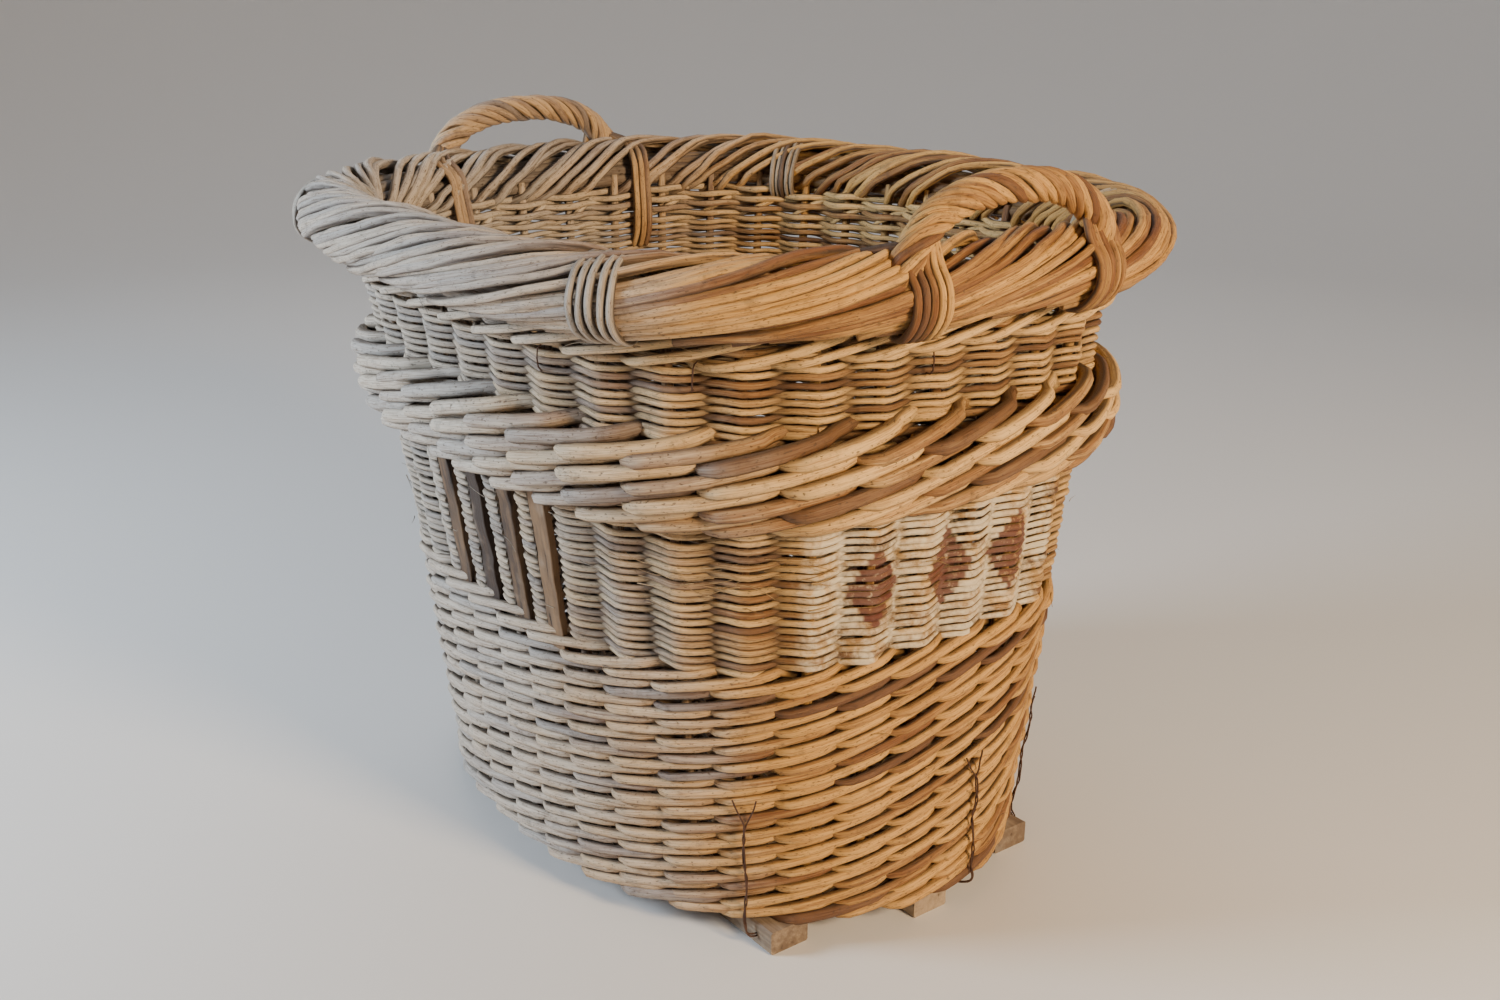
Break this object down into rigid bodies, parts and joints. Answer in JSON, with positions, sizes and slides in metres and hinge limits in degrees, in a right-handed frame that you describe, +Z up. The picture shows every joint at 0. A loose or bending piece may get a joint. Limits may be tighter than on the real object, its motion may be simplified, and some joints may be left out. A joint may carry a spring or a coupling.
{
  "type": "wicker log basket",
  "caption": "Large willow log basket, oval at the foot and squarer at the rim, with a roped border, bow handles, slotted sides and wooden runners.",
  "frame": {"origin": "bottom centre of the basket, on the ground under the runners", "axes": "+X along the long side, towards one bow handle; +Y across; +Z up"},
  "size_m": [0.82, 0.7378, 0.702],
  "materials": {
    "willow_pale": "dry weathered willow",
    "willow_tan": "dry honey-coloured willow",
    "willow_grey": "greyed willow",
    "split_wood": "dark split wood",
    "runner_wood": "rough sawn wood",
    "rusty_wire": "rusted"
  },
  "bodies": {
    "root": {"base_mat": "willow_grey", "base_stick_1": "willow_tan", "base_stick_2": "willow_tan", "base_stick_3": "willow_tan", "belt_wale": "willow_pale", "border": "willow_tan", "foot_weave": "willow_tan", "handle_binding_1": "willow_tan", "handle_binding_2": "willow_tan", "handle_binding_3": "willow_tan", "handle_binding_4": "willow_tan", "handle_minus_x": "willow_tan", "handle_plus_x": "willow_tan", "lashing_1": "willow_grey", "lashing_2": "willow_grey", "lashing_3": "willow_grey", "lashing_4": "willow_grey", "lath_1": "split_wood", "lath_2": "split_wood", "lath_3": "split_wood", "lath_4": "split_wood", "lower_randing": "willow_pale", "runner_1": "runner_wood", "runner_2": "runner_wood", "runner_3": "runner_wood", "runner_tie_1": "rusty_wire", "runner_tie_2": "rusty_wire", "runner_tie_3": "rusty_wire", "runner_tie_4": "rusty_wire", "runner_tie_5": "rusty_wire", "runner_tie_6": "rusty_wire", "slot_column_1": "willow_pale", "slot_column_2": "willow_pale", "slot_column_3": "willow_pale", "stake_pair_01": "willow_tan", "stake_pair_02": "willow_tan", "stake_pair_03": "willow_tan", "stake_pair_04": "willow_tan", "stake_pair_05": "willow_tan", "stake_pair_06": "willow_tan", "stake_pair_07": "willow_tan", "stake_pair_08": "willow_tan", "stake_pair_09": "willow_tan", "stake_pair_10": "willow_tan", "stake_pair_11": "willow_tan", "stake_pair_12": "willow_tan", "stake_pair_13": "willow_tan", "stake_pair_14": "willow_tan", "stake_pair_15": "willow_tan", "stake_pair_16": "willow_tan", "stake_pair_17": "willow_tan", "stake_pair_18": "willow_tan", "top_wale": "willow_pale", "upper_randing": "willow_pale"}
  },
  "joints": []
}
